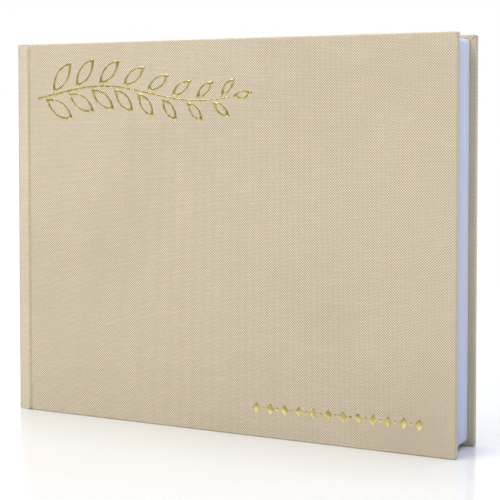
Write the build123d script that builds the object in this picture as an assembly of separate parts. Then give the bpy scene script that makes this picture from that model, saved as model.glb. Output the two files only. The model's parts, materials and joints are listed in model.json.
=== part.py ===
from build123d import *
import math
import os

# Landscape case-bound guest book, in millimetres. It stands on its tail edge: X runs from the spine
# to the fore-edge, -Y is the front cover's side, Z runs from tail to head.

# Covers
COVER_WIDTH = 254.0
COVER_HEIGHT = 203.2
BOARD = 3.0
SPINE_BOARD = 2.5
CLOTH = 0.4
TURN_IN = 15.0
CLOTH_EDGE_RADIUS = 0.8
SPINE_EDGE_RADIUS = 1.0

# Stiff strip beside the spine, and the crease between it and the cover
STRIP_WIDTH = 6.5
CREASE_WIDTH = 2.4
CREASE_DEPTH = 0.8
CREASE_INSET = 0.3

# Paper
SIGNATURE_COUNT = 10
LEAVES_PER_SIGNATURE = 12
LEAF_PITCH = 0.2
PAPER = 0.17
HEAD_SQUARE = 2.0
TAIL_SQUARE = 1.6
FORE_SQUARE = 3.4
PAGE_CORNER_RADIUS = 3.0
FOLD_RADIUS = 1.0
TURNING_LEAVES = 3
PASTEDOWN_INSET = 3.0
FLYLEAF_CLEARANCE = 0.2
LEAF_LINE_GAP = 0.6
STUB_CLEARANCE = 0.3

# Lining of the block's back, from the outside in
HOLLOW = 0.3
LINING = 0.3
MULL = 0.25
THREAD = 0.35
LINING_INSET = 6.0
MULL_INSET = 18.0
MULL_FLAP_CLEARANCE = 0.5
STATION_COUNT = 5
STATION_END = 22.0
STITCH_SPACING = 10.0
BAND_RADIUS = 0.65
BAND_SKIRT = 8.0

# Foil stamping on the front cover
FOIL = 0.06
SPRIG_LEFT = 14.0
SPRIG_LENGTH = 119.0
SPRIG_HEIGHT = 175.5
SPRIG_SWAY = 4.0
STEM_WIDTH = 1.4
STEM_TIP_WIDTH = 0.7
SPRIG_LEAF_PAIRS = 8
SPRIG_LEAF_LENGTH = 21.0
SPRIG_LEAF_TAPER = 0.45
SPRIG_LEAF_ASPECT = 0.2
SPRIG_LEAF_STROKE = 1.05
SPRIG_LEAF_ANGLE = 43.0
SPRIG_LEAF_GAP = 0.3
MARKS_LENGTH = 92.0
MARKS_RIGHT = 16.0
MARKS_HEIGHT = 15.1
MARK_PAIRS = 11
DIAMOND_HALF_HEIGHT = 3.0
DIAMOND_HALF_WIDTH = 2.3
DOT_RADIUS = 0.9

# Sizes that follow
half_block = SIGNATURE_COUNT * LEAVES_PER_SIGNATURE * LEAF_PITCH / 2
air = LEAF_PITCH - PAPER
flyleaf_inner = half_block + air
flyleaf_outer = flyleaf_inner + PAPER
pastedown_inner = flyleaf_outer + FLYLEAF_CLEARANCE
turn_in_face = pastedown_inner + PAPER
board_inner = turn_in_face + CLOTH
board_outer = board_inner + BOARD
half_book = board_outer + CLOTH

spine_x = -COVER_WIDTH / 2
fore_x = COVER_WIDTH / 2
strip_end = spine_x + STRIP_WIDTH
cover_start = strip_end + CREASE_WIDTH
crease_x = strip_end + CREASE_WIDTH / 2
leaf_line = cover_start + LEAF_LINE_GAP
stub_end = leaf_line - STUB_CLEARANCE
spine_board_x = spine_x + CLOTH
spine_inner = spine_board_x + SPINE_BOARD
spine_turn_in = spine_inner + CLOTH
lining_x = spine_turn_in + HOLLOW
mull_x = lining_x + LINING
thread_x = mull_x + MULL
block_x = thread_x + THREAD
pages_fore = fore_x - FORE_SQUARE
tail_z = TAIL_SQUARE
head_z = COVER_HEIGHT - HEAD_SQUARE

os.makedirs("parts", exist_ok=True)


def save(node, *solids):
    """Writes one node, as a solid or as a group of separate solids."""
    shape = solids[0] if len(solids) == 1 else Compound(children=list(solids))
    export_step(shape, f"parts/{node}.step")


def slab(x0, x1, y0, y1, z0, z1):
    """A box from its corners. y0 and y1 come in either order, so one call serves both covers."""
    low, high = min(y0, y1), max(y0, y1)
    return Pos((x0 + x1) / 2, (low + high) / 2, (z0 + z1) / 2) * Box(x1 - x0, high - low, z1 - z0)


def upright_edges(solid, x, faces):
    """The vertical edges at one x, on the given y faces."""
    edges = solid.edges().filter_by(Axis.Z)
    return [
        e
        for e in edges
        if abs(e.center().X - x) < 0.01 and any(abs(e.center().Y - y) < 0.01 for y in faces)
    ]


def page(x0, y0, y1):
    """A sheet or section of pages from x0 to the fore-edge, with rounded fore-edge corners."""
    low, high = min(y0, y1), max(y0, y1)
    width, height = pages_fore - x0, head_z - tail_z
    sheet = slab(x0, pages_fore, low, high, tail_z, head_z)
    corners = [e for e in sheet.edges().filter_by(Axis.Y) if e.center().X > pages_fore - 0.01]
    return fillet(corners, min(PAGE_CORNER_RADIUS, width / 3, height / 3))


# Covers


def cover_board(side):
    return slab(
        cover_start, fore_x - CLOTH, side * board_inner, side * board_outer, CLOTH, COVER_HEIGHT - CLOTH
    )


def cover_cloth(side):
    """Cloth over the board's face and three edges, turned in on the inside. The crease side is open."""
    wrap = slab(cover_start, fore_x, side * turn_in_face, side * half_book, 0, COVER_HEIGHT)
    outer = [
        e
        for e in wrap.edges()
        if e.center().X > cover_start + 0.01
        and not (abs(e.center().Y - side * (turn_in_face + half_book) / 2) < 0.01)
    ]
    wrap = fillet(outer, min(CLOTH_EDGE_RADIUS, BOARD / 2))
    window = slab(
        cover_start,
        fore_x - TURN_IN,
        side * turn_in_face,
        side * board_inner,
        TURN_IN,
        COVER_HEIGHT - TURN_IN,
    )
    return wrap - cover_board(side) - window


def pastedown(side):
    """Paper over the turn-ins, stepping down to the board inside them."""
    outside = turn_in_face - PAPER
    edge = slab(
        cover_start,
        fore_x - PASTEDOWN_INSET,
        side * outside,
        side * turn_in_face,
        PASTEDOWN_INSET,
        COVER_HEIGHT - PASTEDOWN_INSET,
    )
    well_x, well_low, well_high = fore_x - TURN_IN, TURN_IN, COVER_HEIGHT - TURN_IN
    well = slab(cover_start, well_x, side * turn_in_face, side * board_inner, well_low, well_high)
    dip = slab(
        cover_start,
        well_x - PAPER,
        side * outside,
        side * (board_inner - PAPER),
        well_low + PAPER,
        well_high - PAPER,
    )
    return edge + well - dip


# Spine


def spine_strip(side):
    return slab(spine_inner, strip_end, side * board_inner, side * board_outer, CLOTH, COVER_HEIGHT - CLOTH)


def spine_board():
    return slab(spine_board_x, spine_inner, -board_outer, board_outer, CLOTH, COVER_HEIGHT - CLOTH)


def spine_cloth():
    """Cloth round the spine board and both strips, turned in at head and tail."""
    wrap = slab(spine_x, strip_end, -half_book, half_book, 0, COVER_HEIGHT)
    corners = upright_edges(wrap, spine_x, (-half_book, half_book))
    wrap = fillet(corners, min(SPINE_EDGE_RADIUS, SPINE_BOARD / 2))
    inside = slab(spine_turn_in, strip_end, -turn_in_face, turn_in_face, 0, COVER_HEIGHT)
    between = slab(spine_inner, strip_end, -board_inner, board_inner, TURN_IN, COVER_HEIGHT - TURN_IN)
    return wrap - inside - between - spine_board() - spine_strip(-1) - spine_strip(1)


def crease_cloth(side):
    """Cloth pressed into a V between the strip and the cover."""
    top, bottom = side * half_book, side * (half_book - CREASE_DEPTH)
    inward = -side * CLOTH
    outline = Polyline(
        (strip_end, top),
        (crease_x, bottom),
        (cover_start, top),
        (cover_start, top + inward),
        (crease_x, bottom + inward),
        (strip_end, top + inward),
        close=True,
    )
    height = COVER_HEIGHT - 2 * CREASE_INSET
    return Pos(0, 0, CREASE_INSET) * extrude(make_face(outline), amount=height, dir=(0, 0, 1))


# Page block


def signature(index):
    """A folded section. The first and last are thinner past the gutter, where their turning leaves lie."""
    thickness = LEAVES_PER_SIGNATURE * LEAF_PITCH
    low = -half_block + index * thickness
    high = low + thickness
    body = page(block_x, low, high)
    body = fillet(upright_edges(body, block_x, (low, high)), min(FOLD_RADIUS, 0.45 * thickness))
    turned = TURNING_LEAVES * LEAF_PITCH
    if index == 0:
        body -= slab(stub_end, fore_x, low, low + turned, 0, COVER_HEIGHT)
    if index == SIGNATURE_COUNT - 1:
        body -= slab(stub_end, fore_x, high - turned, high, 0, COVER_HEIGHT)
    return body


def turning_leaf(side, index):
    outer = half_block - index * LEAF_PITCH
    return page(leaf_line, side * outer, side * (outer - PAPER))


def endpaper_fold(side):
    """The endpaper's folded gutter: one layer beside the strip and one on the block."""
    outside = turn_in_face - PAPER
    fold = slab(block_x - PAPER, stub_end, side * flyleaf_inner, side * turn_in_face, tail_z, head_z)
    between = slab(block_x, stub_end, side * flyleaf_outer, side * outside, 0, COVER_HEIGHT)
    past_strip = slab(strip_end, fore_x, side * flyleaf_outer, side * half_book, 0, COVER_HEIGHT)
    return fold - between - past_strip


# Back of the block


def mull():
    """Gauze over the stitches, with a flap under each strip."""
    low, high = MULL_INSET, COVER_HEIGHT - MULL_INSET
    back = slab(mull_x, thread_x, -board_inner, board_inner, low, high)
    end = strip_end - MULL_FLAP_CLEARANCE
    for side in (-1, 1):
        back += slab(mull_x, end, side * board_inner, side * (board_inner - MULL), low, high)
    return back


def lining():
    return slab(lining_x, mull_x, -half_block, half_block, LINING_INSET, COVER_HEIGHT - LINING_INSET)


def stitches():
    """A pair of link stitches at each sewing station."""
    span = COVER_HEIGHT - 2 * STATION_END - STITCH_SPACING
    reach = half_block - FOLD_RADIUS
    bars = []
    for i in range(STATION_COUNT):
        station = STATION_END + STITCH_SPACING / 2 + span * i / (STATION_COUNT - 1)
        for offset in (-STITCH_SPACING / 2, STITCH_SPACING / 2):
            low = station + offset - THREAD / 2
            bars.append(slab(thread_x, block_x, -reach, reach, low, low + THREAD))
    return bars


def band(end_z, up):
    """A round bead past one end of the block, on a skirt stuck to the block's back."""
    reach = half_block - CLOTH
    bead_z = end_z + up * (BAND_RADIUS + air)
    bead = Pos(block_x + BAND_RADIUS - THREAD, 0, bead_z) * Rot(90, 0, 0) * Cylinder(BAND_RADIUS, 2 * reach)
    low, high = sorted((end_z - up * BAND_SKIRT, bead_z))
    return bead + slab(thread_x, block_x, -reach, reach, low, high)


# Foil


def stem_height(t):
    return SPRIG_HEIGHT + SPRIG_SWAY * math.sin(2 * math.pi * (t - 0.1))


def stem_point(t):
    return Vector(spine_x + SPRIG_LEFT + SPRIG_LENGTH * t, stem_height(t))


def stem_direction(t):
    step = 0.001
    return (stem_point(t + step) - stem_point(t - step)).normalized()


def lens(base, direction, length, half_width):
    """A pointed leaf outline, from its base along a direction."""
    across = Vector(-direction.Y, direction.X) * half_width
    middle, tip = base + direction * (length / 2), base + direction * length
    return make_face(ThreePointArc(base, middle + across, tip) + ThreePointArc(tip, middle - across, base))


def stamped(face):
    """A foil piece on the front cover, from a flat face drawn in x and z."""
    on_cover = Plane(origin=(0, -half_book, 0), x_dir=(1, 0, 0), z_dir=(0, -1, 0))
    return extrude(on_cover * face, amount=FOIL, dir=(0, -1, 0))


def stem():
    """A swaying stem that thins towards its tip."""
    places = [i / 12 for i in range(13)]
    edges = []
    for side in (1, -1):
        points = []
        for t in places:
            direction = stem_direction(t)
            half_width = (STEM_WIDTH + (STEM_TIP_WIDTH - STEM_WIDTH) * t) / 2
            points.append(stem_point(t) + Vector(-direction.Y, direction.X) * (side * half_width))
        edges.append(points)
    top, bottom = edges
    outline = Spline(*top) + Line(top[-1], bottom[-1]) + Spline(*bottom[::-1]) + Line(bottom[0], top[0])
    return make_face(outline)


def sprig_leaf(t, turn):
    """An open leaf beside the stem, drawn as a thin ring, turned to one side by an angle."""
    direction = stem_direction(t).rotate(Axis.Z, turn)
    length = SPRIG_LEAF_LENGTH * (1 - SPRIG_LEAF_TAPER * t)
    start = stem_point(t) + direction * (SPRIG_LEAF_GAP + STEM_WIDTH)
    half_width = SPRIG_LEAF_ASPECT * length
    inset = SPRIG_LEAF_STROKE / SPRIG_LEAF_ASPECT / 2
    inner = lens(start + direction * inset, direction, length - 2 * inset, half_width - SPRIG_LEAF_STROKE)
    return lens(start, direction, length, half_width) - inner


def sprig():
    faces = [stem(), sprig_leaf(1.0, 0)]
    for i in range(SPRIG_LEAF_PAIRS):
        t = (i + 0.6) / SPRIG_LEAF_PAIRS
        faces.append(sprig_leaf(t, SPRIG_LEAF_ANGLE))
        faces.append(sprig_leaf(t - 0.35 / SPRIG_LEAF_PAIRS, -SPRIG_LEAF_ANGLE))
    return [stamped(face) for face in faces]


def diamond():
    wide, tall = DIAMOND_HALF_WIDTH, DIAMOND_HALF_HEIGHT
    corners = ((-wide, 0), (0, tall), (wide, 0), (0, -tall))
    return make_face(Polyline(*corners, close=True))


def marks():
    """A row of diamonds with dots between them."""
    left = fore_x - MARKS_RIGHT - MARKS_LENGTH
    pitch = (MARKS_LENGTH - 2 * DIAMOND_HALF_WIDTH) / MARK_PAIRS
    faces = []
    for i in range(MARK_PAIRS + 1):
        x = left + DIAMOND_HALF_WIDTH + i * pitch
        faces.append(Pos(x, MARKS_HEIGHT) * diamond())
        if i < MARK_PAIRS:
            faces.append(Pos(x + pitch / 2, MARKS_HEIGHT) * Circle(DOT_RADIUS))
    return [stamped(face) for face in faces]


for name, side in (("front", -1), ("back", 1)):
    save(f"{name}_cover_board", cover_board(side))
    save(f"{name}_cover_cloth", cover_cloth(side))
    save(f"{name}_pastedown", pastedown(side))
    save(f"{name}_hinge_strip", spine_strip(side))
    save(f"{name}_crease_cloth", crease_cloth(side))
    save(f"{name}_endpaper_fold", endpaper_fold(side))
    save(f"{name}_flyleaf", page(leaf_line, side * flyleaf_inner, side * flyleaf_outer))
    for i in range(TURNING_LEAVES):
        save(f"{name}_leaf_{i + 1}", turning_leaf(side, i))

for i in range(SIGNATURE_COUNT):
    save(f"signature_{i + 1:02d}", signature(i))

save("spine_board", spine_board())
save("spine_cloth", spine_cloth())
save("spine_mull", mull())
save("spine_lining", lining())
save("sewing_thread", *stitches())
save("headband", band(head_z, 1))
save("tailband", band(tail_z, -1))
save("cover_sprig_foil", *sprig())
save("cover_marks_foil", *marks())
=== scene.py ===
import json
import math
import random

import bmesh
import bpy
from mathutils import Matrix, Vector


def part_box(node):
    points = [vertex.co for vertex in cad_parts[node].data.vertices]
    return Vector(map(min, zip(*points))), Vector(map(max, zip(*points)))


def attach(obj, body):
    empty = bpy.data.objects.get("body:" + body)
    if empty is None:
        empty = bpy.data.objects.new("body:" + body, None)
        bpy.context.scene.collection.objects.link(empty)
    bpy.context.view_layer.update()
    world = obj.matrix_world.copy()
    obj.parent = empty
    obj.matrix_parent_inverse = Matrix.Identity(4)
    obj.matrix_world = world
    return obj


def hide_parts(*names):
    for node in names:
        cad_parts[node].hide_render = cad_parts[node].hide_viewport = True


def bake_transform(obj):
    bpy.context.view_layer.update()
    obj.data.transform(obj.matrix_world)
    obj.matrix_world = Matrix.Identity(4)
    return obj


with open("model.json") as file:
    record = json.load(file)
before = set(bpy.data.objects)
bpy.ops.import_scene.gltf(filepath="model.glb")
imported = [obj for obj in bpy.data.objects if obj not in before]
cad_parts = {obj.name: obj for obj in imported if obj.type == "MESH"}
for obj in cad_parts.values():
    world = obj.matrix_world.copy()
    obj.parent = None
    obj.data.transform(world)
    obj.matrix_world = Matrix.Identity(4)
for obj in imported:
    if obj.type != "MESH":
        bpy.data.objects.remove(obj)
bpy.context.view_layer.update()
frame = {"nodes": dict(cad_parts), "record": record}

MM = 0.001
dice = random.Random(7)


# ---------------------------------------------------------------- sizes from the frame

def low(node, axis):
    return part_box(node)[0][axis]


def high(node, axis):
    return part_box(node)[1][axis]


SPINE_X = low("spine_cloth", 0)
STRIP_END = high("spine_cloth", 0)
COVER_START = low("front_cover_cloth", 0)
FORE_X = high("front_cover_cloth", 0)
CREASE_X = (STRIP_END + COVER_START) / 2
HEIGHT = high("front_cover_cloth", 2)
HALF_BOOK = high("back_cover_cloth", 1)
CLOTH = high("back_cover_cloth", 1) - high("back_cover_board", 1)
BOARD_INNER = low("back_cover_board", 1)
TURN_IN_FACE = low("back_cover_cloth", 1)
SPINE_INNER = high("spine_board", 0)
BLOCK_X = low("signature_05", 0)
PAGES_FORE = high("signature_05", 0)
TAIL_Z = low("signature_05", 2)
HEAD_Z = high("signature_05", 2)
FLYLEAF_Y = low("back_flyleaf", 1)
PAPER = high("back_flyleaf", 1) - FLYLEAF_Y
PASTEDOWN_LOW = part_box("back_pastedown")[0]
PASTEDOWN_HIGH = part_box("back_pastedown")[1]
HALF_BLOCK = high("signature_10", 1)

SIGNATURES = 10
LEAVES_PER_SIGNATURE = 12
TURNING_LEAVES = 3
LEAF_PITCH = (high("signature_05", 1) - low("signature_05", 1)) / LEAVES_PER_SIGNATURE
PAGE_CORNER = 3.0 * MM
TURN_IN = 15.0 * MM

# Rounding of the cloth: a cover's outer face, inner face, fore-edge corners and crease side, then
# the spine's edges, the folds of its ridges and its two ends.
FACE_ROUND = 0.8 * MM
INNER_ROUND = 0.35 * MM
CORNER_ROUND = 1.0 * MM
LIP_ROUND = 0.35 * MM
SPINE_ROUND = 1.0 * MM
FOLD_ROUND = 0.15 * MM
END_ROUND = 0.45 * MM

# The cloth's ridge beside each crease, and how far it falls to the spine and to the crease.
RIDGE_RISE = 0.3 * MM
RIDGE_RUN = 1.3 * MM
SPINE_FALL = 0.05 * MM
LIP_FALL = 0.12 * MM

# The crease: its depth at its two sides and at its lowest, and how far across it that lies.
CREASE_SHALLOW = 0.17 * MM
CREASE_DEEP = 0.88 * MM
CREASE_LOWEST = 0.8
CREASE_STEPS = 16

# The flat end of a shaded edge, and the length and the cuts over which a turning leaf bends.
END_CUT = 2.0 * MM
BEND_LENGTH = 34.0 * MM
BEND_CUTS = 26

# How a signature's leaves end: short of the block's edge, further out in the middle, and uneven.
FORE_MARGIN = 0.25 * MM
CREEP = 0.08 * MM
SIGNATURE_SHIFT = 0.14 * MM
LEAF_RAGGED = 0.08 * MM

# Shares of the dark paper in a leaf's tone: for each leaf, each signature, and a painted shadow that grows
# towards the front.
LEAF_TONE = 0.2
SIGNATURE_TONE = 0.25
FRONT_PAINTED_SHADE = 0.6
LIGHTEST_TONE = -0.14
SIGNATURE_SEED = 500

FOIL_ROUND = 0.05 * MM


# ---------------------------------------------------------------- shader arithmetic

class Sum:
    """A shader socket that takes part in Python arithmetic."""

    def __init__(self, paint, socket):
        self.paint, self.socket = paint, socket

    def math(self, operation, *others, swap=False):
        values = [self, *others]
        if swap:
            values.reverse()
        return self.paint.node("ShaderNodeMath", {"operation": operation}, *values)

    def __add__(self, other):
        return self.math("ADD", other)

    def __sub__(self, other):
        return self.math("SUBTRACT", other)

    def __mul__(self, other):
        return self.math("MULTIPLY", other)

    def __truediv__(self, other):
        return self.math("DIVIDE", other)

    def __rsub__(self, other):
        return self.math("SUBTRACT", other, swap=True)

    __radd__, __rmul__ = __add__, __mul__

    def __abs__(self):
        return self.math("ABSOLUTE")

    def sin(self):
        return self.math("SINE")

    def floor(self):
        return self.math("FLOOR")

    def power(self, exponent):
        return self.math("POWER", exponent)

    def above(self, level):
        return self.math("GREATER_THAN", level)

    def most(self, other):
        return self.math("MAXIMUM", other)


class Paint:
    """The node tree of a material or of the world, with one method that makes any node."""

    def __init__(self, owner):
        owner.use_nodes = True
        self.owner, self.tree = owner, owner.node_tree

    def plug(self, socket, value):
        if isinstance(value, Sum):
            self.tree.links.new(value.socket, socket)
        else:
            socket.default_value = value

    def node(self, kind, settings=None, *inputs, out=0, **named):
        made = self.tree.nodes.new(kind)
        for key, value in (settings or {}).items():
            if key == "stops":
                ramp = made.color_ramp
                while len(ramp.elements) < len(value):
                    ramp.elements.new(1.0)
                for element, (place, color) in zip(ramp.elements, value):
                    element.position, element.color = place, (*color, 1.0)
            else:
                setattr(made, key, value)
        for index, value in enumerate(inputs):
            self.plug(made.inputs[index], value)
        for key, value in named.items():
            self.plug(made.inputs[key.replace("_", " ")], value)
        return Sum(self, made.outputs[out])

    def split(self, vector):
        """x, y and z of a vector."""
        outputs = self.node("ShaderNodeSeparateXYZ", None, vector).socket.node.outputs
        return [Sum(self, outputs[i]) for i in range(3)]

    def place(self):
        """A point of the surface in the object's own frame, whole and as x, y and z."""
        where = self.node("ShaderNodeTexCoord", out=3)
        return where, self.split(where)

    def upright(self):
        """How far the surface faces up or down, from 0 to 1."""
        return abs(self.split(self.node("ShaderNodeNewGeometry", out=1))[2])

    def vector(self, x, y, z):
        return self.node("ShaderNodeCombineXYZ", None, x, y, z)

    def noise(self, vector, scale, detail=2.0, roughness=0.5):
        return self.node(
            "ShaderNodeTexNoise", None, Vector=vector, Scale=scale, Detail=detail, Roughness=roughness
        )

    def smooth_step(self, value, start, end):
        """From 0 at the start to 1 at the end, with soft ends."""
        return self.node("ShaderNodeMapRange", {"interpolation_type": "SMOOTHSTEP"}, value, start, end)

    def mix(self, share, a, b):
        made = self.tree.nodes.new("ShaderNodeMix")
        made.data_type = "RGBA"
        for socket, value in zip((made.inputs[0], made.inputs[6], made.inputs[7]), (share, a, b)):
            self.plug(socket, value)
        return Sum(self, made.outputs[2])

    def ramp(self, value, *stops):
        return self.node("ShaderNodeValToRGB", {"stops": stops}, value)

    def bump(self, height, distance, strength=1.0):
        return self.node("ShaderNodeBump", None, Height=height, Distance=distance, Strength=strength)

    def finish(self, **sockets):
        surface = self.tree.nodes["Principled BSDF"]
        for key, value in sockets.items():
            self.plug(surface.inputs[key.replace("_", " ")], value)
        return self.owner

    def blend_shaders(self, share, first, second, output):
        """Sends a mix of two shader sockets to the tree's output node."""
        mixer = self.tree.nodes.new("ShaderNodeMixShader")
        self.plug(mixer.inputs[0], share)
        self.tree.links.new(first, mixer.inputs[1])
        self.tree.links.new(second, mixer.inputs[2])
        self.tree.links.new(mixer.outputs[0], self.tree.nodes[output].inputs["Surface"])


def material(name):
    return Paint(bpy.data.materials.new(name))


def rgb(red, green, blue):
    """A linear colour from 0-255 display values."""
    def linear(c):
        c /= 255
        return c / 12.92 if c <= 0.04045 else ((c + 0.055) / 1.055) ** 2.4
    return (linear(red), linear(green), linear(blue), 1.0)


# ---------------------------------------------------------------- materials

THREAD_PITCH = 0.66 * MM
GAUZE_PITCH = 0.9 * MM
SEWING_TWIST = 0.35 * MM
SILK_STRIPE = 1.15 * MM
SILK_THREAD = 0.29 * MM
LEAF_SHADE = "leaf_shade"


def weave(paint, pitch, slub=0.2, sway=0.5, crown=0.6, dip=0.45, slub_run=0.06):
    """Plain weave: height from 0 to 1, a mask of warp-over cells, and the threads' own shade.

    Sway is how far the threads wander, in pitches. Crown rounds a thread across its width, and dip is
    how deep it goes under the next one. Slub is how much the threads differ, over a run of many cells.
    """
    where, (x, y, z) = paint.place()
    across = (x + y) / pitch + (paint.noise(where, 90.0, 1.0) - 0.5) * sway
    along = (z + y * paint.upright()) / pitch + (paint.noise(where, 70.0, 1.0) - 0.5) * sway
    wave_a, wave_b = (across * math.pi).sin(), (along * math.pi).sin()
    warp_over = (wave_a * wave_b).above(0.0)
    round_a, round_b = abs(wave_a), abs(wave_b)
    warp = round_a.power(crown) * (round_b * dip + (1.0 - dip))
    weft = round_b.power(crown) * (round_a * dip + (1.0 - dip))
    height = warp_over * warp + (1.0 - warp_over) * weft
    thread_a = paint.noise(paint.vector(across.floor() * 3.1, along * slub_run, 0.0), 1.0, 2.0)
    thread_b = paint.noise(paint.vector(across * slub_run, along.floor() * 3.7, 5.0), 1.0, 2.0)
    shade = warp_over * thread_a + (1.0 - warp_over) * thread_b
    return height * (shade * slub + (1.0 - slub)), warp_over, shade, where


def linen(name, light, dark, tint):
    """Book cloth, with painted light making it a little lighter over the spine and the strips beside it."""
    paint = material(name)
    height, warp_over, shade, where = weave(paint, THREAD_PITCH)
    broad = paint.noise(where, 14.0, 3.0)
    # Painted light: the spine and the strips beside it are mixed a little towards the light colour.
    painted_strip_light = paint.smooth_step(paint.split(where)[0], STRIP_END + 0.4 * MM, STRIP_END - 0.1 * MM)
    threads = paint.mix(height * 0.6 + warp_over * 0.55 + painted_strip_light * 0.1 - 0.12, dark, light)
    slubs = paint.mix((shade - 0.5) * 0.6, threads, tint)
    mottled = paint.mix((broad - 0.5) * 0.5, slubs, dark)
    fuzz = paint.noise(where, 4200.0, 2.0)
    relief = height + fuzz * 0.22
    return paint.finish(
        Base_Color=mottled,
        Roughness=0.92 - height * 0.12,
        Normal=paint.bump(relief, 0.11 * MM, 0.75),
        Sheen_Weight=0.25,
        Sheen_Roughness=0.45,
        Specular_IOR_Level=0.28,
    )


def paper(name, light, dark, tooth=0.012 * MM):
    """Uncoated paper, darker by the mesh's leaf tone: random tones, and on the pages a painted shadow
    towards the front.
    """
    paint = material(name)
    where, _ = paint.place()
    fibre = paint.noise(where, 1800.0, 3.0, 0.6)
    cloud = paint.noise(where, 40.0, 3.0)
    leaf = paint.node("ShaderNodeAttribute", {"attribute_name": LEAF_SHADE}, out=2)
    return paint.finish(
        Base_Color=paint.mix(fibre * 0.2 + cloud * 0.2 + leaf, light, dark),
        Roughness=0.88 - fibre * 0.1,
        Normal=paint.bump(fibre, tooth, 0.6),
        Specular_IOR_Level=0.3,
    )


def greyboard():
    paint = material("greyboard")
    where, (x, y, z) = paint.place()
    fleck = paint.noise(where, 900.0, 4.0, 0.7)
    layer = paint.noise(paint.vector(x * 60.0, y * 3000.0, z * 60.0), 1.0, 2.0)
    color = paint.ramp(
        fleck * 0.7 + layer * 0.3,
        (0.3, (0.16, 0.15, 0.13)), (0.5, (0.3, 0.28, 0.25)), (0.7, (0.42, 0.4, 0.36)),
    )
    return paint.finish(Base_Color=color, Roughness=0.95, Normal=paint.bump(fleck, 0.04 * MM, 0.6))


def gauze():
    paint = material("gauze")
    height, _, _, _ = weave(paint, GAUZE_PITCH)
    color = paint.mix(height, rgb(150, 144, 128), rgb(232, 228, 214))
    return paint.finish(Base_Color=color, Roughness=0.95, Normal=paint.bump(height, 0.2 * MM, 0.8))


def kraft():
    paint = material("kraft_lining")
    _, (x, y, z) = paint.place()
    streak = paint.noise(paint.vector(x * 900.0, y * 900.0, z * 60.0), 1.0, 3.0)
    color = paint.mix(streak, rgb(176, 146, 108), rgb(204, 176, 138))
    return paint.finish(Base_Color=color, Roughness=0.85, Normal=paint.bump(streak, 0.02 * MM, 0.5))


def waxed_thread():
    paint = material("waxed_thread")
    _, (_, y, z) = paint.place()
    twist = ((y + z * 0.6) * (math.pi / SEWING_TWIST)).sin()
    color = paint.mix(twist * 0.5 + 0.5, rgb(214, 208, 192), rgb(244, 240, 228))
    return paint.finish(Base_Color=color, Roughness=0.55, Normal=paint.bump(twist, 0.05 * MM, 0.8))


def band_cloth():
    """Silk over a core, in two alternating threads."""
    paint = material("headband_silk")
    _, (_, y, z) = paint.place()
    wraps = (y / SILK_STRIPE).math("FRACT").above(0.5)
    fine = ((y + z * 0.2) * (2 * math.pi / SILK_THREAD)).sin() * 0.5 + 0.5
    color = paint.mix(wraps, rgb(238, 228, 204), rgb(188, 160, 112))
    shaded = paint.mix(fine * 0.35, color, rgb(120, 98, 66))
    return paint.finish(
        Base_Color=shaded, Roughness=0.45, Normal=paint.bump(fine, 0.03 * MM, 0.7),
        Sheen_Weight=0.3, Sheen_Roughness=0.3,
    )


def gold_foil():
    """Hot-stamped foil that lets the weave under it show through."""
    paint = material("gold_foil")
    height, _, _, where = weave(paint, THREAD_PITCH)
    crackle = paint.noise(where, 1500.0, 3.0, 0.6)
    painted_reflection_patches = paint.noise(where, 500.0, 2.0)
    # Painted reflection: the foil's colour runs from dark to bright gold in random patches.
    color = paint.ramp(
        painted_reflection_patches, (0.35, (0.56, 0.44, 0.16)), (0.55, (0.78, 0.65, 0.28)), (0.75, (0.9, 0.79, 0.42))
    )
    return paint.finish(
        Base_Color=color,
        Metallic=1.0,
        Roughness=0.14 + crackle * 0.16,
        Normal=paint.bump(height * 0.6 + crackle * 0.4, 0.04 * MM, 0.4),
    )


MATERIALS = {
    "cloth": linen("linen_book_cloth", rgb(253, 238, 212), rgb(140, 126, 99), rgb(240, 228, 204)),
    "board": greyboard(),
    "endpaper": paper("endpaper", rgb(236, 232, 222), rgb(222, 216, 203)),
    # The pages' bluish dark colour is mixed in by random leaf tones and by the painted shadow towards the
    # front of the block.
    "pages": paper("page_paper", rgb(238, 241, 249), rgb(188, 197, 222)),
    "gauze": gauze(),
    "lining": kraft(),
    "thread": waxed_thread(),
    "band": band_cloth(),
    "foil": gold_foil(),
}

for part in frame["record"]["subparts"]:
    for holder in frame["nodes"][part["node"]].material_slots:
        holder.material = MATERIALS[part["material_slot"]]


# ---------------------------------------------------------------- shaping helpers

def slab(bm, start, end):
    """A box between two corners, given in any order. Returns its vertices."""
    a = Vector(map(min, start, end))
    b = Vector(map(max, start, end))
    size = b - a
    place = Matrix.Translation((a + b) / 2) @ Matrix.Diagonal((*size, 1.0))
    return bmesh.ops.create_cube(bm, size=1.0, matrix=place)["verts"]


def near(value, goal, slack=1e-6):
    return abs(value - goal) < slack


def edges_between(verts, test):
    """The edges among these vertices whose two ends both pass a test."""
    inside = set(verts)
    return list({
        edge for vert in verts for edge in vert.link_edges
        if all(end in inside and test(end.co) for end in edge.verts)
    })


def edges_along(verts, axis, test=lambda co: True):
    """The edges among these vertices that run along one axis."""
    def runs(edge):
        way = edge.verts[1].co - edge.verts[0].co
        return abs(way[axis]) > 0.99 * way.length
    return [edge for edge in edges_between(verts, test) if runs(edge)]


def soften(bm, edges, radius, segments=4):
    bmesh.ops.bevel(
        bm, geom=edges, offset=radius, offset_type="OFFSET", affect="EDGES",
        segments=segments, profile=0.5, material=-1, clamp_overlap=True,
    )


def cut_across(bm, axis, *places):
    """Cuts the faces at places along one axis, so an end's shading stays at that end."""
    for place in places:
        point, way = Vector(), Vector()
        point[axis], way[axis] = place, 1.0
        everything = bm.verts[:] + bm.edges[:] + bm.faces[:]
        bmesh.ops.bisect_plane(bm, geom=everything, plane_co=point, plane_no=way)


def shift(bm, geometry, way):
    """Moves the vertices among some extruded geometry."""
    verts = [item for item in geometry if isinstance(item, bmesh.types.BMVert)]
    bmesh.ops.translate(bm, verts=verts, vec=way)


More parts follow.
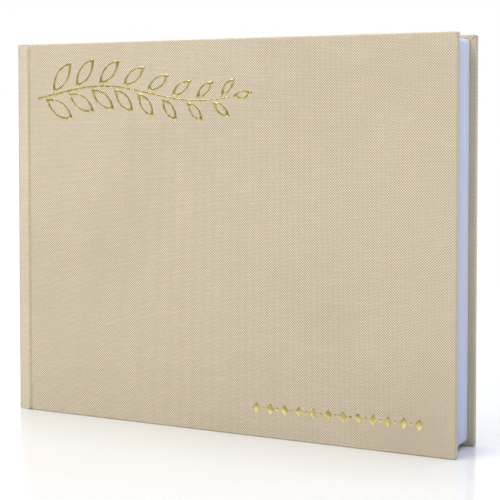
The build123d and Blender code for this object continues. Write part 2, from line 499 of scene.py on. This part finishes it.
def upright_sheet(bm, path, tail, head):
    """A sheet that stands on a path of x and y, from its tail to its head."""
    row = [bm.verts.new((x, y, tail)) for x, y in path]
    edges = [bm.edges.new(pair) for pair in zip(row, row[1:])]
    shift(bm, bmesh.ops.extrude_edge_only(bm, edges=edges)["geom"], (0, 0, head - tail))


def shade_leaves(mesh):
    """Stores the leaves' tone: one for each leaf, one for each signature, and a painted shadow darker to
    the front.
    """
    tone = mesh.attributes.new(LEAF_SHADE, "FLOAT", "POINT")
    for vert, item in zip(mesh.vertices, tone.data):
        index = math.floor((vert.co.y + HALF_BLOCK) / LEAF_PITCH)
        leaf = random.Random(index).random()
        section = random.Random(SIGNATURE_SEED + index // LEAVES_PER_SIGNATURE).random()
        toward_front = 0.5 - vert.co.y / (2 * HALF_BLOCK)
        # The front share is painted shadow, darkest at the front of the block.
        item.value = LEAF_TONE * leaf + SIGNATURE_TONE * section + FRONT_PAINTED_SHADE * toward_front + LIGHTEST_TONE


def piece(name, bm, slot, body=None, replaces=(), smooth=60.0):
    """Turns a bmesh into a finished piece, shaded smooth up to an angle in degrees."""
    bmesh.ops.recalc_face_normals(bm, faces=bm.faces)
    mesh = bpy.data.meshes.new(name)
    bm.to_mesh(mesh)
    bm.free()
    made = bpy.data.objects.new(name, mesh)
    bpy.context.scene.collection.objects.link(made)
    mesh.materials.append(MATERIALS[slot])
    mesh.shade_smooth()
    mesh.set_sharp_from_angle(angle=math.radians(smooth))
    if body:
        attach(made, body)
    if replaces:
        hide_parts(*replaces)
    return made


def flatten_large_faces(made, axis_limit=0.999):
    """Flat-shades the faces that lie square to an axis, so bevels don't tint them."""
    for face in made.data.polygons:
        if max(map(abs, face.normal)) > axis_limit:
            face.use_smooth = False


def thicken(made, thickness):
    """Makes a sheet solid, half to each side."""
    solid = made.modifiers.new("paper", "SOLIDIFY")
    solid.thickness, solid.offset = thickness, 0.0
    bpy.context.view_layer.objects.active = made
    with bpy.context.temp_override(object=made, active_object=made):
        bpy.ops.object.modifier_apply(modifier=solid.name)


# ---------------------------------------------------------------- covers

def cover_wrap(side, name):
    """Cloth-covered board with softly rounded edges."""
    bm = bmesh.new()
    outer, inner = side * HALF_BOOK, side * BOARD_INNER
    verts = slab(bm, (COVER_START, inner, 0), (FORE_X, outer, HEIGHT))
    corners = edges_along(verts, 1, lambda co: near(co.x, FORE_X))
    soften(bm, corners, CORNER_ROUND, 4)
    rims = edges_between(bm.verts, lambda co: near(co.y, outer))
    soften(bm, [e for e in rims if max(v.co.x for v in e.verts) > COVER_START + MM], FACE_ROUND, 5)
    lip = edges_along(list(bm.verts), 2, lambda co: near(co.x, COVER_START) and near(co.y, outer))
    soften(bm, lip, LIP_ROUND, 4)
    soften(bm, edges_between(bm.verts, lambda co: near(co.y, inner)), INNER_ROUND, 3)
    cut_across(bm, 2, END_CUT, HEIGHT - END_CUT)
    cut_across(bm, 0, COVER_START + END_CUT, FORE_X - END_CUT)
    made = piece(f"{name}_cover_wrap", bm, "cloth", f"{name}_cover", [f"{name}_cover_cloth"])
    flatten_large_faces(made)


def turn_ins(side, name):
    """Three strips of cloth folded onto the cover's inside, mitred where they meet."""
    bm = bmesh.new()
    y0, y1 = side * BOARD_INNER, side * TURN_IN_FACE
    edge, seam = CLOTH, 0.12 * MM
    far, top = FORE_X - edge, HEIGHT - edge
    reach = TURN_IN - edge
    fore = slab(bm, (FORE_X - TURN_IN, y0, edge + seam), (far, y1, top - seam))
    for vert in fore:
        if near(vert.co.x, FORE_X - TURN_IN):
            vert.co.z += reach if vert.co.z < HEIGHT / 2 else -reach
    for z_edge, z_inner in ((top, HEIGHT - TURN_IN), (edge, TURN_IN)):
        strip = slab(bm, (COVER_START, y0, z_edge), (far - seam, y1, z_inner))
        for vert in strip:
            if near(vert.co.z, z_inner) and vert.co.x > 0:
                vert.co.x -= reach
    soften(bm, edges_between(bm.verts, lambda co: near(co.y, y1)), 0.12 * MM, 2)
    made = piece(f"{name}_turn_ins", bm, "cloth", f"{name}_cover", [f"{name}_cover_cloth"])
    flatten_large_faces(made)


def pastedown(side, name):
    """Endpaper pasted over the turn-ins, dipping to the board inside them."""
    bm = bmesh.new()
    level, dip = side * (TURN_IN_FACE - PAPER / 2), side * (BOARD_INNER - PAPER / 2)
    (x0, _, z0), (x1, _, z1) = PASTEDOWN_LOW, PASTEDOWN_HIGH
    corners = [bm.verts.new((x, level, z)) for x, z in ((x0, z0), (x1, z0), (x1, z1), (x0, z1))]
    sheet = bm.faces.new(corners)
    slope = 0.8 * MM
    rim = FORE_X - TURN_IN - x1
    bmesh.ops.inset_region(bm, faces=[sheet], thickness=abs(rim) - slope / 2, use_even_offset=True)
    centre = max(bm.faces, key=lambda f: f.calc_area())
    for vert in centre.verts:
        if vert.co.x < 0:
            vert.co.x = x0 + slope
    bmesh.ops.inset_region(bm, faces=[centre], thickness=slope, use_even_offset=True)
    centre = max(bm.faces, key=lambda f: f.calc_area())
    for vert in centre.verts:
        vert.co.y = dip
    long_folds = [e for e in bm.edges if not e.is_boundary and e.calc_length() > 50 * MM]
    soften(bm, long_folds, 0.3 * MM, 3)
    made = piece(f"{name}_pastedown_sheet", bm, "endpaper", f"{name}_cover", [f"{name}_pastedown"])
    thicken(made, PAPER)


def crease(side, name):
    """Cloth lining the crease between strip and cover, bending with the cover."""
    bm = bmesh.new()
    half = (COVER_START - STRIP_END) / 2
    path = []
    for i in range(CREASE_STEPS + 1):
        u = i / CREASE_STEPS
        phase = u / CREASE_LOWEST if u < CREASE_LOWEST else (1 - u) / (1 - CREASE_LOWEST)
        drop = CREASE_SHALLOW + (CREASE_DEEP - CREASE_SHALLOW) * (1 - math.cos(math.pi * phase)) / 2
        path.append((CREASE_X + half * (2 * u - 1), side * (HALF_BOOK - drop)))
    inset = 0.35 * MM
    upright_sheet(bm, path, inset, HEIGHT - inset)
    cut_across(bm, 2, END_CUT, HEIGHT - END_CUT)
    made = piece(f"{name}_crease_fold", bm, "cloth", None, [f"{name}_crease_cloth"])
    thicken(made, CLOTH * 0.8)
    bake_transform(made)


def joint_lining(side, name):
    """The cloth's turn-ins where they pass through the crease, filling its two ends."""
    bm = bmesh.new()
    clearance, crease_room, inset = 0.02 * MM, 1.5 * MM, 0.5 * MM
    y0, y1 = side * (TURN_IN_FACE + clearance), side * (HALF_BOOK - crease_room)
    for z0, z1 in ((inset, TURN_IN), (HEIGHT - TURN_IN, HEIGHT - inset)):
        slab(bm, (STRIP_END, y0, z0), (COVER_START, y1, z1))
    width = COVER_START - STRIP_END
    cut_across(bm, 0, *(STRIP_END + width * i / CREASE_STEPS for i in range(1, CREASE_STEPS)))
    made = piece(f"{name}_joint_lining", bm, "cloth", None, [f"{name}_crease_cloth"])
    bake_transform(made)


def spine_wrap():
    """Cloth round the spine board and both strips, with a ridge beside each crease and rounded ends."""
    bm = bmesh.new()
    ridge, foot = STRIP_END - LIP_ROUND, STRIP_END - LIP_ROUND - RIDGE_RUN
    sunk = HALF_BOOK - RIDGE_RISE
    half_outline = [
        (SPINE_X, sunk - SPINE_FALL), (foot, sunk), (ridge, HALF_BOOK),
        (STRIP_END, HALF_BOOK - LIP_FALL), (STRIP_END, TURN_IN_FACE), (SPINE_INNER + CLOTH, TURN_IN_FACE),
    ]
    outline = half_outline + [(x, -y) for x, y in reversed(half_outline)]
    base = bm.faces.new([bm.verts.new((x, y, 0)) for x, y in outline])
    shift(bm, bmesh.ops.extrude_face_region(bm, geom=[base])["geom"], (0, 0, HEIGHT))
    spine_corners = edges_along(list(bm.verts), 2, lambda co: near(co.x, SPINE_X))
    soften(bm, spine_corners, SPINE_ROUND, 5)
    slack = MM / 10

    def on_ridge(co):
        return abs(co.y) > sunk - slack and foot - slack < co.x < STRIP_END - slack
    soften(bm, edges_along(list(bm.verts), 2, on_ridge), FOLD_ROUND, 3)
    rims = [
        e for e in bm.edges
        if all(near(v.co.z, 0) or near(v.co.z, HEIGHT) for v in e.verts)
        and near(e.verts[0].co.z, e.verts[1].co.z)
    ]
    soften(bm, rims, END_ROUND, 3)
    cut_across(bm, 2, END_CUT, HEIGHT - END_CUT)
    made = piece("spine_wrap", bm, "cloth", "block", ["spine_cloth"])
    flatten_large_faces(made)


# ---------------------------------------------------------------- paper

def leaf_sheet(bm, start_x, y, fore_x):
    """One flat leaf from a gutter line to its fore-edge, with rounded fore-edge corners."""
    corners = ((start_x, TAIL_Z), (fore_x, TAIL_Z), (fore_x, HEAD_Z), (start_x, HEAD_Z))
    verts = [bm.verts.new((x, y, z)) for x, z in corners]
    bm.faces.new(verts)
    bmesh.ops.bevel(
        bm, geom=verts[1:3], offset=PAGE_CORNER, offset_type="OFFSET", affect="VERTICES",
        segments=6, profile=0.5, material=-1,
    )


def bending_leaf(name, node, slot):
    """A turning leaf that bends out of the gutter."""
    bm = bmesh.new()
    y = (low(node, 1) + high(node, 1)) / 2
    leaf_sheet(bm, STRIP_END, y, PAGES_FORE)
    start, end = CREASE_X, CREASE_X + BEND_LENGTH
    cut_across(bm, 0, *(start + (end - start) * i / BEND_CUTS for i in range(BEND_CUTS + 1)))
    made = piece(name, bm, slot, None, [node])
    thicken(made, PAPER)
    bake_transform(made)


def half_ring(bm, x, y, radius, thickness):
    """The fold of one folio: half a ring standing from tail to head."""
    inner, outer = radius - thickness / 2, radius + thickness / 2
    verts = [bm.verts.new((x, y - r, TAIL_Z)) for r in (outer, inner)]
    raised = [bm.verts.new((x, y - r, HEAD_Z)) for r in (inner, outer)]
    face = bm.faces.new(verts + raised)
    bmesh.ops.spin(
        bm, geom=[face, *face.edges, *face.verts], cent=(x, y, 0), axis=(0, 0, -1),
        angle=math.pi, steps=8, use_merge=False,
    )


def signature_stack(index):
    """A signature as separate leaves, joined in pairs at their folds."""
    node = f"signature_{index:02d}"
    y0, y1 = low(node, 1), high(node, 1)
    middle = (y0 + y1) / 2
    count = LEAVES_PER_SIGNATURE
    bm = bmesh.new()
    outward = dice.uniform(-SIGNATURE_SHIFT, SIGNATURE_SHIFT)
    fold_x = BLOCK_X + (y1 - y0) / 2
    for i in range(count):
        first_turned = index == 1 and i < TURNING_LEAVES
        last_turned = index == SIGNATURES and i >= count - TURNING_LEAVES
        y = y0 + (i + 0.5) * LEAF_PITCH
        leaf = bmesh.new()
        if first_turned or last_turned:
            slab(leaf, (fold_x, y - PAPER / 2, TAIL_Z), (COVER_START, y + PAPER / 2, HEAD_Z))
        else:
            creep = CREEP * (1 - abs(i - (count - 1) / 2) / (count / 2))
            end = PAGES_FORE - FORE_MARGIN + creep + outward + dice.uniform(0, LEAF_RAGGED)
            leaf_sheet(leaf, fold_x, y - PAPER / 2, end)
            shift(leaf, bmesh.ops.extrude_face_region(leaf, geom=leaf.faces[:])["geom"], (0, PAPER, 0))
        bmesh.ops.recalc_face_normals(leaf, faces=leaf.faces)
        scratch = bpy.data.meshes.new("leaf")
        leaf.to_mesh(scratch)
        leaf.free()
        bm.from_mesh(scratch)
        bpy.data.meshes.remove(scratch)
    for k in range(count // 2):
        half_ring(bm, fold_x, middle, (k + 0.5) * LEAF_PITCH, PAPER)
    made = piece(f"signature_{index:02d}_leaves", bm, "pages", "block", [node], smooth=40.0)
    shade_leaves(made.data)


def endpaper_gutter(side, name):
    """The endpaper's fold: from the pastedown to the spine, and back as the flyleaf's stub."""
    bm = bmesh.new()
    outside, inside = TURN_IN_FACE - PAPER / 2, FLYLEAF_Y + PAPER / 2
    middle, radius = (outside + inside) / 2, (outside - inside) / 2
    fold_x = BLOCK_X + 0.1 * MM
    path = [(COVER_START + 1.0 * MM, outside)]
    cuts, fold_steps = 12, 6
    path += [(COVER_START - (COVER_START - STRIP_END) * i / cuts, outside) for i in range(cuts + 1)]
    path += [(fold_x, outside)]
    for i in range(1, fold_steps):
        turn = math.pi * i / fold_steps
        path.append((fold_x - radius * math.sin(turn), middle + radius * math.cos(turn)))
    path += [(fold_x, inside), (STRIP_END, inside)]
    upright_sheet(bm, [(x, side * y) for x, y in path], TAIL_Z, HEAD_Z)
    made = piece(f"{name}_endpaper_gutter", bm, "endpaper", None, [f"{name}_endpaper_fold"])
    thicken(made, PAPER * 0.9)
    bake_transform(made)


# ---------------------------------------------------------------- head and tail bands

def end_band(node, up):
    """A corded bead wound with silk, on a cloth tape stuck to the block's back."""
    (x0, y0, z0), (x1, y1, z1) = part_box(node)
    bead_radius = (x1 - x0) / 2
    centre_x = (x0 + x1) / 2
    centre_z = z1 - bead_radius if up > 0 else z0 + bead_radius
    bm = bmesh.new()
    wraps, steps, groove = 40, 4, 0.1
    pitch = (y1 - y0) / wraps
    profile = []
    for i in range(wraps * steps + 1):
        y = y0 + pitch * i / steps
        swell = abs(math.sin(math.pi * i / steps))
        profile.append(bm.verts.new((centre_x, y, centre_z + bead_radius * (1 - groove + groove * swell))))
    first = bm.verts.new((centre_x, y0, centre_z))
    last = bm.verts.new((centre_x, y1, centre_z))
    chain = [first, *profile, last]
    edges = [bm.edges.new(pair) for pair in zip(chain, chain[1:])]
    bmesh.ops.spin(
        bm, geom=[*chain, *edges], cent=(centre_x, 0, centre_z), axis=(0, 1, 0),
        angle=2 * math.pi, steps=14, use_merge=True,
    )
    bmesh.ops.remove_doubles(bm, verts=bm.verts, dist=1e-7)
    tape_low, tape_high = (z0, centre_z) if up > 0 else (centre_z, z1)
    slab(bm, (x0 + 0.05 * MM, y0, tape_low), (x0 + 0.35 * MM, y1, tape_high))
    piece(f"{node}_wound", bm, "band", "block", [node], smooth=50.0)


# ---------------------------------------------------------------- foil

def foil_relief(node):
    """Stamped foil with softened edges, from the flat foil's own outline."""
    bm = bmesh.new()
    bm.from_mesh(frame["nodes"][node].data)
    bmesh.ops.remove_doubles(bm, verts=bm.verts, dist=1e-6)
    bmesh.ops.dissolve_limit(
        bm, angle_limit=math.radians(1.0), verts=bm.verts, edges=bm.edges,
        use_dissolve_boundaries=False,
    )
    face_y = low(node, 1)
    rims = edges_between(list(bm.verts), lambda co: near(co.y, face_y))
    sharp = math.radians(30)
    rims = [e for e in rims if len(e.link_faces) == 2 and e.calc_face_angle(0) > sharp]
    soften(bm, rims, FOIL_ROUND, 2)
    bmesh.ops.triangulate(bm, faces=[f for f in bm.faces if len(f.verts) > 4])
    piece(f"{node}_stamped", bm, "foil", "front_cover", [node], smooth=50.0)


# ---------------------------------------------------------------- assembly

for side, name in ((-1, "front"), (1, "back")):
    cover_wrap(side, name)
    turn_ins(side, name)
    pastedown(side, name)
    crease(side, name)
    joint_lining(side, name)
    endpaper_gutter(side, name)
    bending_leaf(f"{name}_flyleaf_sheet", f"{name}_flyleaf", "endpaper")
    for i in range(1, TURNING_LEAVES + 1):
        bending_leaf(f"{name}_leaf_{i}_sheet", f"{name}_leaf_{i}", "pages")

spine_wrap()
for i in range(1, SIGNATURES + 1):
    signature_stack(i)
end_band("headband", 1)
end_band("tailband", -1)
foil_relief("cover_sprig_foil")
foil_relief("cover_marks_foil")


# ---------------------------------------------------------------- studio

def floor():
    """A polished white floor that turns to plain white away from the book."""
    bm = bmesh.new()
    bmesh.ops.create_grid(bm, x_segments=1, y_segments=1, size=30.0)
    mesh = bpy.data.meshes.new("studio_floor")
    bm.to_mesh(mesh)
    bm.free()
    ground = bpy.data.objects.new("studio_floor", mesh)
    bpy.context.scene.collection.objects.link(ground)
    paint = material("polished_white_floor")
    mesh.materials.append(
        paint.finish(Base_Color=(0.8, 0.8, 0.8, 1.0), Roughness=0.14, Specular_IOR_Level=0.5)
    )
    _, (x, y, _) = paint.place()
    glow = paint.node("ShaderNodeEmission", None, (1.0, 1.0, 1.0, 1.0), 1.02)
    away = paint.smooth_step((x * x + y * y).power(0.5), 0.3, 1.2)
    front = paint.smooth_step(y, -7.0, -2.0)
    polished = paint.tree.nodes["Principled BSDF"].outputs[0]
    paint.blend_shaders(away * front, polished, glow.socket, "Material Output")


def soft_light(name, place, aim, size, power, color=(1, 1, 1), glossy=True):
    """A round lamp that the camera doesn't see, and that polished surfaces may mirror."""
    lamp = bpy.data.lights.new(name, "AREA")
    lamp.shape, lamp.size, lamp.energy, lamp.color = "DISK", size, power, color
    made = bpy.data.objects.new(name, lamp)
    bpy.context.scene.collection.objects.link(made)
    made.visible_camera, made.visible_glossy = False, glossy
    made.location = place
    made.rotation_euler = (Vector(aim) - Vector(place)).to_track_quat("-Z", "Y").to_euler()


def studio_world():
    """White to the camera, and a soft surround: brighter behind the book, bluer at its fore-edge."""
    world = bpy.data.worlds.new("studio")
    bpy.context.scene.world = world
    paint = Paint(world)
    x, y, _ = paint.split(paint.node("ShaderNodeTexCoord", out=0))
    neutral, sky = (0.98, 0.99, 1.0, 1.0), (0.56, 0.68, 0.96, 1.0)
    surround = paint.tree.nodes["Background"]
    paint.plug(surround.inputs["Strength"], (0.67 - x * 0.06 + y * 0.48).most(0.08))
    paint.plug(surround.inputs["Color"], paint.mix(x * 1.3, neutral, sky))
    white = paint.node("ShaderNodeBackground", None, (1, 1, 1, 1))
    seen = paint.node("ShaderNodeLightPath", out=0)
    paint.blend_shaders(seen, surround.outputs[0], white.socket, "World Output")


def camera():
    lens = bpy.data.cameras.new("camera")
    lens.sensor_width, lens.lens, lens.shift_y = 36.0, 95.2, -0.1635
    lens.clip_start, lens.clip_end = 0.05, 100.0
    made = bpy.data.objects.new("camera", lens)
    bpy.context.scene.collection.objects.link(made)
    made.location = (0.3199, -0.6157, 0.1616)
    made.rotation_euler = (math.radians(90 - 2.1), 0, math.radians(26.76))
    bpy.context.scene.camera = made


floor()
studio_world()
soft_light("key", (-0.9, -1.5, 1.5), (0, 0, 0.08), 1.4, 26.0, (1.0, 0.97, 0.93))
soft_light("top", (0.1, -0.1, 1.7), (0, 0, 0), 1.2, 16.5)
soft_light("side", (1.8, -0.55, 0.5), (0, 0, 0.1), 0.7, 4.3, (0.75, 0.84, 1.0), glossy=False)
camera()
bpy.context.scene.view_settings.view_transform = "Standard"
bpy.context.scene.view_settings.look = "None"
